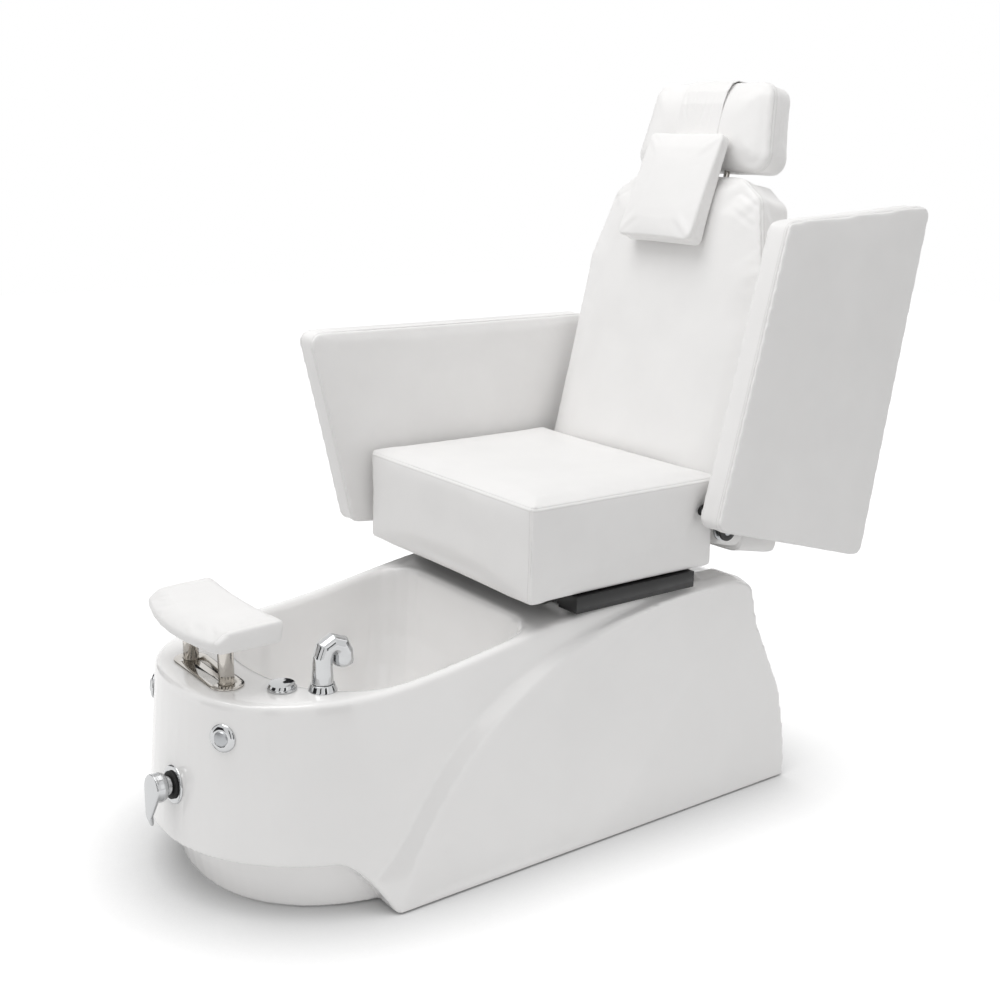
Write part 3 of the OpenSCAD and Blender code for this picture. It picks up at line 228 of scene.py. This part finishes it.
# polished 304 stainless: a little warmer and softer than the plate
stainless = metal("polishedStainless", "#C9C5BF", 0.1, 0.16, 15 * mm, 0.6 * mm, 0.1)
# bright zinc plate on mild steel
zinc = metal("zincPlate", "#B4B6B8", 0.28, 0.4, 12 * mm, 0.8 * mm, 0.2)
# sand-cast brass, machined on its flats
brass = metal("castBrass", "#C39B52", 0.28, 0.42, 10 * mm, 1.2 * mm, 0.2)


def finish(name, color, low, high, cloudSize, grain, strength, **more):
    mat, tree, shader, where = startMaterial(name, color, low, **more)
    varyRoughness(tree, shader, where, low, high, cloudSize)
    dots = addNode(tree, "ShaderNodeTexNoise", links={"Vector": where},
                   values={"Scale": 1 / grain, "Detail": 3.0})
    bump = addNode(tree, "ShaderNodeBump", links={"Height": dots.outputs["Fac"]},
                   values={"Strength": strength, "Distance": 0.2 * mm})
    tree.links.new(bump.outputs["Normal"], shader.inputs["Normal"])
    return mat


# polyester powder coat: satin black, fine orange peel
powderCoat = finish("powderCoatBlack", "#0F0F10", 0.34, 0.46, 30 * mm, 2.5 * mm, 0.25)
# moulded nitrile rubber: dull, slightly uneven
rubber = finish("nitrileRubber", "#151515", 0.6, 0.75, 10 * mm, 1.2 * mm, 0.3)
# moulded nylon: black, matte from a spark-eroded mould
nylon = finish("mouldedNylon", "#202124", 0.48, 0.6, 10 * mm, 0.8 * mm, 0.2)
# air-drying enamel on the motor's can
enamel = finish("motorEnamel", "#4A4D50", 0.35, 0.5, 20 * mm, 2 * mm, 0.2)

# spun-bonded bottom cloth over the seat's board: black, matte, with a fine felted tooth; its black is
# partly the cloth's own and partly painted shade for the dark gap under the seat
blackClothAndShade = finish("blackClothAndShadeUnderSeat", "#131314", 0.8, 0.95, 25 * mm, 1.5 * mm, 0.4)
print("materials ready")


shot = {"place": (2.05566, -1.56263, 1.26520), "right": (0.59620, 0.80259, 0.01968),
        "up": (-0.21479, 0.13584, 0.96717), "lens": 49.38}
cam = bpy.data.cameras.new("photoCamera")
cam.lens = shot["lens"]
cam.sensor_width = 36
cam.clip_end = 60
camera = bpy.data.objects.new("photoCamera", cam)
bpy.context.scene.collection.objects.link(camera)
right, above = Vector(shot["right"]).normalized(), Vector(shot["up"]).normalized()
back = right.cross(above).normalized()
turn = Matrix((right, above, back)).transposed().to_4x4()
camera.matrix_world = Matrix.Translation(shot["place"]) @ turn
bpy.context.scene.camera = camera
bpy.context.scene.view_settings.view_transform = "Standard"

lamps = {
    # name: place, aimed at, width, watts
    "keyAbove": ((-0.4, -1.1, 3.6), (0, -0.1, 0.5), 2.4, 52),
    "fillRight": ((3.4, -0.4, 1.9), (0, 0, 0.6), 2.2, 4),
    "rimRear": ((0.4, 3.0, 2.4), (0, 0.2, 0.8), 1.8, 10),
}
for name, (place, aim, width, watts) in lamps.items():
    lamp = bpy.data.lights.new(name, "AREA")
    lamp.shape = "SQUARE"
    lamp.size = width
    lamp.energy = watts
    holder = bpy.data.objects.new(name, lamp)
    bpy.context.scene.collection.objects.link(holder)
    holder.location = place
    holder.rotation_euler = (Vector(aim) - Vector(place)).to_track_quat("-Z", "Y").to_euler()

def lookedAt(tree):
    # 1 for the camera and for reflections, 0 for light that bounces between surfaces
    path = addNode(tree, "ShaderNodeLightPath")
    sees = addNode(tree, "ShaderNodeMath", operation="MAXIMUM",
                   links={0: path.outputs["Is Camera Ray"], 1: path.outputs["Is Glossy Ray"]})
    return path, sees.outputs[0]


room = bpy.data.worlds.new("whiteRoom")
bpy.context.scene.world = room
room.use_nodes = True
tree = room.node_tree
tree.nodes.clear()
path, sees = lookedAt(tree)
seesAll = addNode(tree, "ShaderNodeMath", operation="MAXIMUM",
                  links={0: sees, 1: path.outputs["Is Transmission Ray"]})
level = addNode(tree, "ShaderNodeMapRange", links={"Value": seesAll.outputs[0]},
                values={"To Min": 0.56, "To Max": 1.0})
sky = addNode(tree, "ShaderNodeBackground", links={"Strength": level.outputs["Result"]},
              values={"Color": (1, 1, 1, 1)})
addNode(tree, "ShaderNodeOutputWorld", links={"Surface": sky.outputs[0]})

# the floor shows white to the camera and keeps the chair's shadow
bm = bmesh.new()
bmesh.ops.create_grid(bm, x_segments=1, y_segments=1, size=9)
floor = fromBmesh("paperFloor", bm, smooth=False)
mat = bpy.data.materials.new("whitePaper")
mat.use_nodes = True
tree = mat.node_tree
tree.nodes.clear()
paper = addNode(tree, "ShaderNodeBsdfDiffuse", values={"Color": linear("#EDEDED")})
place = addNode(tree, "ShaderNodeTexCoord")
radius = addNode(tree, "ShaderNodeVectorMath", operation="LENGTH",
                 links={0: place.outputs["Object"]})
level = addNode(tree, "ShaderNodeMapRange", links={"Value": radius.outputs["Value"]},
                values={"From Min": 0.9, "From Max": 2.4, "To Min": 1.48, "To Max": 1.75})
# painted contact shadow: the paper's glow darkens within a hand's width of the base, as the shadow
# under the real one does
nearby = addNode(tree, "ShaderNodeAmbientOcclusion", values={"Distance": 0.22})
paintedContactShadow = addNode(tree, "ShaderNodeMath", operation="POWER", links={0: nearby.outputs["AO"]},
                 values={1: 1.5})
power = addNode(tree, "ShaderNodeMath", operation="MULTIPLY",
                links={0: paintedContactShadow.outputs[0], 1: level.outputs["Result"]})
glow = addNode(tree, "ShaderNodeEmission", links={"Strength": power.outputs[0]},
               values={"Color": (1, 1, 1, 1)})
path, sees = lookedAt(tree)
share = addNode(tree, "ShaderNodeMath", operation="MULTIPLY", links={0: sees}, values={1: 0.5})
mixed = addNode(tree, "ShaderNodeMixShader",
                links={0: share.outputs[0], 1: paper.outputs[0], 2: glow.outputs[0]})
addNode(tree, "ShaderNodeOutputMaterial", links={"Surface": mixed.outputs[0]})
floor.data.materials.append(mat)

# dark cards that only the polished metal sees, as a studio's flags
flag = bpy.data.materials.new("blackFlag")
flag.use_nodes = True
tree = flag.node_tree
tree.nodes.clear()
dark = addNode(tree, "ShaderNodeEmission", values={"Color": linear("#303032"), "Strength": 1.0})
addNode(tree, "ShaderNodeOutputMaterial", links={"Surface": dark.outputs[0]})
cardsAway = 3.1
cards = [
    # degrees round the chair, width, lower edge, upper edge
    (-95, 1.6, 0.0, 1.5),
    (-52, 0.5, 0.0, 2.2),
    (-12, 0.9, 0.0, 2.4),
    (62, 0.9, 0.0, 2.0),
    (-150, 1.3, 0.2, 2.4),
    (150, 1.0, 0.0, 2.0),
]
for degrees, wide, low, high in cards:
    a = math.radians(degrees)
    spot = (cardsAway * math.cos(a), cardsAway * math.sin(a), (low + high) / 2)
    upright = frameOf(spot, (-math.sin(a), math.cos(a), 0), up)
    bm = bmesh.new()
    bmesh.ops.create_grid(bm, x_segments=1, y_segments=1, size=0.5,
                          matrix=upright @ Matrix.Diagonal((wide, high - low, 1, 1)))
    card = fromBmesh("darkCard", bm, smooth=False)
    card.data.materials.append(flag)
    card.visible_camera = card.visible_diffuse = False
    card.visible_shadow = card.visible_transmission = False
print("camera, lamps and floor ready")


def shrunk(obj, depth):
    # a little smaller all round, to leave room for what the foam adds
    bm = bmesh.new()
    bm.from_mesh(obj.data)
    bm.normal_update()
    for v in bm.verts:
        v.co -= v.normal * depth
    bm.to_mesh(obj.data)
    bm.free()


foam = {"frames": 20, "held": 4 * mm, "stiffness": 12, "bending": 1.5, "mass": 0.4, "quality": 5}


def swollen(obj, pad):
    # the foam presses the cover out, and the sewn seams hold it in
    scene = bpy.context.scene
    start = [v.co.copy() for v in obj.data.vertices]
    held = obj.vertex_groups.new(name="held")
    for v in obj.data.vertices:
        gap = min((abs(plane.dot(v.co) - level) for plane, level, test in pad["seams"]
                   if test is None or test(v.co)), default=1)
        if gap < foam["held"]:
            held.add([v.index], 1, "REPLACE")
    mod = obj.modifiers.new("foam", "CLOTH")
    cloth = mod.settings
    cloth.quality = foam["quality"]
    cloth.mass = foam["mass"]
    cloth.tension_stiffness = cloth.compression_stiffness = foam["stiffness"]
    cloth.shear_stiffness = foam["stiffness"] / 2
    cloth.bending_stiffness = foam["bending"]
    cloth.use_pressure = True
    cloth.uniform_pressure_force = pad["pressure"]
    cloth.effector_weights.gravity = 0
    cloth.vertex_group_mass = "held"
    mod.point_cache.frame_start, mod.point_cache.frame_end = 1, foam["frames"]
    for f in range(1, foam["frames"] + 1):
        scene.frame_set(f)
    bake(obj)
    scene.frame_set(1)
    most = pad["cap"] * mm
    for v, old in zip(obj.data.vertices, start):
        step = v.co - old
        if step.length > most:
            v.co = old + step * (most / step.length)


# millimetres, and waves per metre for the gathers
sewing = {"cuts": (-4.0, -1.6, -0.7, 0, 0.7, 1.6, 4.0), "fold": 1.5, "gather": 14, "reach": 40,
          "longWaves": 55, "shortWaves": 120}


def sewn(obj, pad):
    # each seam cuts a fold into the cover, and the cover gathers a little beside it
    bm = bmesh.new()
    bm.from_mesh(obj.data)
    for plane, level, test in pad["seams"]:
        for off in sewing["cuts"]:
            bmesh.ops.bisect_plane(bm, geom=bm.verts[:] + bm.edges[:] + bm.faces[:], dist=0.02 * mm,
                                   plane_co=plane * (level + off * mm), plane_no=plane)
    bm.normal_update()
    for v in bm.verts:
        for plane, level, test in pad["seams"]:
            gap = abs(plane.dot(v.co) - level) / mm
            if gap > sewing["reach"] or (test and not test(v.co)):
                continue
            along = (noise.noise(v.co * sewing["longWaves"])
                     + 0.5 * noise.noise(v.co * sewing["shortWaves"] + up))
            fold = pad["depth"] * math.exp(-(gap / sewing["fold"]) ** 2)
            gather = pad["pucker"] * along * math.exp(-(gap / sewing["gather"]) ** 2)
            v.co -= v.normal * ((fold + gather) * mm)
    bm.to_mesh(obj.data)
    bm.free()
    obj.data.shade_smooth()


def sliceLoops(obj, plane, level):
    # the lines where a plane cuts the cover, each as a list of points in order
    bm = bmesh.new()
    bm.from_mesh(obj.data)
    cut = bmesh.ops.bisect_plane(bm, geom=bm.verts[:] + bm.edges[:] + bm.faces[:], dist=0.01 * mm,
                                 plane_co=plane * level, plane_no=plane)["geom_cut"]
    edges = dict.fromkeys(e for e in cut if isinstance(e, bmesh.types.BMEdge))
    lines = []
    while edges:
        first = edges.popitem()[0]
        line = [first.verts[0], first.verts[1]]
        for turn in (0, 1):
            while True:
                tip = line[-1]
                follow = next((e for e in tip.link_edges if e in edges), None)
                if follow is None:
                    break
                edges.pop(follow)
                line.append(follow.other_vert(tip))
            line.reverse()
        lines.append([(v.co.copy(), v.normal.copy()) for v in line])
    bm.free()
    return lines


stitch = {"pitch": 5.2, "length": 3.0, "width": 0.8}


def stitched(name, obj, rows, body):
    # one short thread every few millimetres along each row, half sunk in the cover
    bm = bmesh.new()
    bmesh.ops.create_uvsphere(bm, u_segments=6, v_segments=4, radius=1)
    bead = [v.co.copy() for v in bm.verts]
    around = [[v.index for v in f.verts] for f in bm.faces]
    bm.free()
    half = stitch["width"] / 2 * mm
    size = Matrix.Diagonal((stitch["length"] / 2 * mm, half, half, 1))
    points, faces = [], []
    for plane, level, test in rows:
        for line in sliceLoops(obj, plane, level):
            wait = 0.0
            for (a, na), (b, nb) in zip(line, line[1:]):
                run = (b - a).length
                if run < 1e-7:
                    continue
                way = (b - a) / run
                while wait <= run:
                    spot = a + way * wait
                    wait += stitch["pitch"] * mm
                    if test and not test(spot):
                        continue
                    out = (na + nb).normalized()
                    side = out.cross(way).normalized()
                    turn = Matrix((way, side, way.cross(side))).transposed().to_4x4()
                    whole = Matrix.Translation(spot) @ turn @ size
                    faces += [[len(points) + i for i in face] for face in around]
                    points += [whole @ co for co in bead]
                wait -= run
    mesh = bpy.data.meshes.new(name)
    mesh.from_pydata(points, [], faces)
    mesh.shade_smooth()
    return dressed(newObject(name, mesh), body, thread, slot="white_leatherette")


def creased(obj, out, folds):
    # a fold is start, end, width and depth: a dent with a raised lip, on the face towards out
    facing = [v for v in obj.data.vertices if v.normal.dot(out) > 0.4]
    for start, end, width, depth in folds:
        a, run = Vector(start), Vector(end) - Vector(start)
        for v in facing:
            way = v.co - a
            t = way.dot(run) / run.length_squared
            if not 0 < t < 1:
                continue
            side = way - run * t
            gap = (side - out * side.dot(out)).length / (width * mm)
            if gap < 3.5:
                lift = 0.55 * math.exp(-(gap - 1.6) ** 2) - math.exp(-gap * gap)
                v.co += out * (depth * mm * lift * (1 - (2 * t - 1) ** 4))


def madePad(name, nodeName, body, pad):
    form = weldedCopy(name + "Form", nodeName)
    obj = remeshed(weldedCopy(name, nodeName), pad["voxel"], 3, onto=form)
    bpy.data.objects.remove(form)
    shrunk(obj, pad["shrink"] * mm)
    swollen(obj, pad)
    subdivided(obj)
    if "folds" in pad:
        creased(obj, *pad["folds"])
    sewn(obj, pad)
    dressed(obj, body, vinyl, nodeName, slot="white_leatherette")
    if "rows" in pad:
        stitched(name + "Stitching", obj, pad["rows"], body)
    print("padded:", name, len(obj.data.polygons), "faces")


def onFace(frameMatrix, level):
    # a plane across a pad, level measured out of its face
    z = frameMatrix.to_3x3() @ up
    return z, z.dot(frameMatrix.translation) + level * mm


seatFrame = frameOf((0, -0.150, 0.658), (1, 0, 0), (0, 1, 0))
lean = math.radians(12)
backUp = (0, math.sin(lean), math.cos(lean))
backFrame = frameOf((0, 0.317, 0.658), (1, 0, 0), backUp)
headFrame = frameOf((0, 0.458, 1.217), (1, 0, 0), backUp)
pillowLean = math.radians(22.5)
pillowUp = (0, math.sin(pillowLean), math.cos(pillowLean))
pillowFrame = frameOf((0, 0.3417, 1.086), (1, 0, 0), pillowUp)


def atLevel(frameMatrix, level):
    return [(*onFace(frameMatrix, level), None)]


across = Vector((1, 0, 0))
# every pad: the first faces' size, how much smaller it starts, the furthest that the foam moves the
# cover, the foam's pressure, a seam's depth and gathers (millimetres), and the share that is filled
seatPad = {
    "voxel": 8, "shrink": 1.5, "cap": 3.5, "pressure": 5, "depth": 1.2, "pucker": 0.5, "fill": 0.95,
    "seams": atLevel(seatFrame, -6.5)
    + [(s * across, 0.262, lambda c: c.y < -0.13 and c.z < 0.650) for s in (-1, 1)],
    "rows": atLevel(seatFrame, -11.5)
    + [(s * across, 0.2575, lambda c: c.y < -0.13 and c.z < 0.645) for s in (-1, 1)],
}
madePad("seatPad", "seat_cushion", "seat", seatPad)

backPad = {
    "voxel": 8, "shrink": 1.0, "cap": 3.0, "pressure": 3.5, "depth": 1.5, "pucker": 0.4, "fill": 0.9,
    "seams": atLevel(backFrame, -11),
    "rows": atLevel(backFrame, -16),
    # the cover gathers at the shoulder, where the front meets the tight turn of the border
    "folds": (onFace(backFrame, 0)[0], [
        ((0.206, 0.427, 1.177), (0.160, 0.433, 1.210), 4.5, 1.1),
        ((0.210, 0.422, 1.153), (0.155, 0.427, 1.178), 5.0, 1.3),
        ((0.213, 0.414, 1.114), (0.150, 0.420, 1.146), 5.5, 0.9),
        ((-0.206, 0.427, 1.177), (-0.168, 0.431, 1.199), 4.5, 0.8),
        ((-0.211, 0.421, 1.146), (-0.158, 0.426, 1.170), 5.0, 0.9),
    ]),
}
madePad("backPad", "back_cushion", "backrest", backPad)

headPad = {
    "voxel": 6.5, "shrink": 0.6, "cap": 2.5, "pressure": 3.5, "depth": 1.5, "pucker": 0.4, "fill": 0.9,
    "seams": atLevel(headFrame, -13),
    "rows": atLevel(headFrame, -18),
}
madePad("headPad", "headrest_cushion", "headrest", headPad)

pillowPad = {
    "voxel": 5, "shrink": 1.0, "cap": 1.2, "pressure": 1.5, "depth": 0.8, "pucker": 0.2, "fill": 0.85,
    "seams": atLevel(pillowFrame, -9),
}
madePad("neckPad", "neck_pillow", "pillow", pillowPad)

armPad = {
    "voxel": 8, "shrink": 1.5, "cap": 3.0, "pressure": 3, "depth": 1.8, "pucker": 0.3, "fill": 0.95}
for side, s in (("left", -1), ("right", 1)):
    pad = dict(armPad, seams=[(s * across, 0.295, None), (s * across, 0.340, None)],
               rows=[(s * across, 0.3345, None)])
    madePad(side + "ArmPad", "arm_pad_" + side, "arm_" + side, pad)

footPad = {
    "voxel": 5, "shrink": 1.5, "cap": 2.5, "pressure": 4, "depth": 1.2, "pucker": 0.3, "fill": 0.9,
    "seams": [(s * across, 0.131, None) for s in (-1, 1)],
}
madePad("footPad", "footrest_pad", "footrest", footPad)

rearPad = {
    "voxel": 10, "shrink": 1.0, "cap": 1.5, "pressure": 2, "depth": 1.2, "pucker": 0.4, "fill": 0.9,
    "seams": atLevel(backFrame, -104),
}
madePad("rearCover", "back_housing", "backrest", rearPad)

weightPad = {
    "voxel": 3.5, "shrink": 0.5, "cap": 0.5, "pressure": 2, "depth": 0.6, "pucker": 0.3, "fill": 0.8,
    "seams": atLevel(headFrame, -82.5),
}
madePad("strapWeight", "strap_weight", "counterweight", weightPad)

strap = remeshed(weldedCopy("pillowStrap", "pillow_strap"), 1.4, 1)
creased(strap, onFace(headFrame, 0)[0], [
    ((-0.052, 0.487, 1.375), (-0.036, 0.474, 1.305), 4.0, 0.7),
    ((-0.026, 0.489, 1.384), (-0.018, 0.477, 1.320), 3.5, 0.5),
    ((0.010, 0.482, 1.352), (0.007, 0.473, 1.300), 3.5, 0.9),
    ((0.030, 0.483, 1.356), (0.027, 0.473, 1.300), 3.0, 0.7),
])
dressed(strap, "headrest", vinyl, "pillow_strap", slot="white_leatherette")

# the bowl is bonded under the shell's rim and faired, so both are one skin
shellTriangles = 190000
shell = remeshed(weldedCopy("basinShell", "base_shell", "foot_basin"), 4, 5)
fewer = shell.modifiers.new("fewer", "DECIMATE")
fewer.ratio = min(1, shellTriangles / (2 * len(shell.data.polygons)))
bake(shell)
dressed(shell, "base", gelCoat, "base_shell", "foot_basin", slot="gel_coat")
print("moulded: basinShell", len(shell.data.polygons), "faces")

for name, nodeName, body in (("handShower", "shower_handset", "handset"),
                             ("mixerLever", "mixer_lever", "lever")):
    cast = remeshed(weldedCopy(name, nodeName), 1.2, 6)
    dressed(cast, body, chrome, nodeName, slot="chrome_trim")

finishes = {
    gelCoat: ["rear_panel", "drain_trap", "jet_fitting"],
    chrome: ["drain_flange", "drain_plug", "drain_knob_seat", "drain_knob", "shower_flange",
             "air_switches", "mixer_plate", "hinge_bolts", "arm_pins"],
    stainless: ["footrest_plate", "footrest_posts", "headrest_rods"],
    zinc: ["air_button_right", "air_button_left", "slide_rails", "panel_screws", "arm_hub_left",
           "arm_hub_right", "back_ears"],
    powderCoat: ["seat_carriage", "hinge_plates", "frame_skids", "frame_legs", "frame_beams",
                 "basin_cradles"],
    rubber: ["mixer_gasket", "levelling_feet"],
    nylon: ["rod_sleeves", "jet_cover", "jet_impeller"],
    # the seat's board is black partly as painted shade under the seat
    blackClothAndShade: ["seat_board"],
    brass: ["mixer_valve"],
    enamel: ["jet_motor"],
}
# rounding of the edges in millimetres, where it isn't the usual one
usualEdge = 0.5
sharpAngle = math.radians(40)
edges = {"footrest_plate": 0.8, "drain_knob": 1.2, "drain_knob_seat": 0.8, "mixer_plate": 0.8,
         "air_switches": 0.8, "air_button_right": 0.8, "air_button_left": 0.8, "hinge_bolts": 0.6}
for mat, names in finishes.items():
    for name in names:
        obj = nodes[name]
        obj.data.materials.clear()
        obj.data.materials.append(mat)
        weld = obj.modifiers.new("weld", "WELD")
        weld.merge_threshold = 0.01 * mm
        bevel = obj.modifiers.new("edges", "BEVEL")
        bevel.width = edges.get(name, usualEdge) * mm
        bevel.segments = 2
        bevel.limit_method = "ANGLE"
        bevel.angle_limit = sharpAngle
        bevel.use_clamp_overlap = True
        bevel.harden_normals = True
        obj.data.shade_smooth()
        obj.data.set_sharp_from_angle(angle=sharpAngle)
print("finishes given")
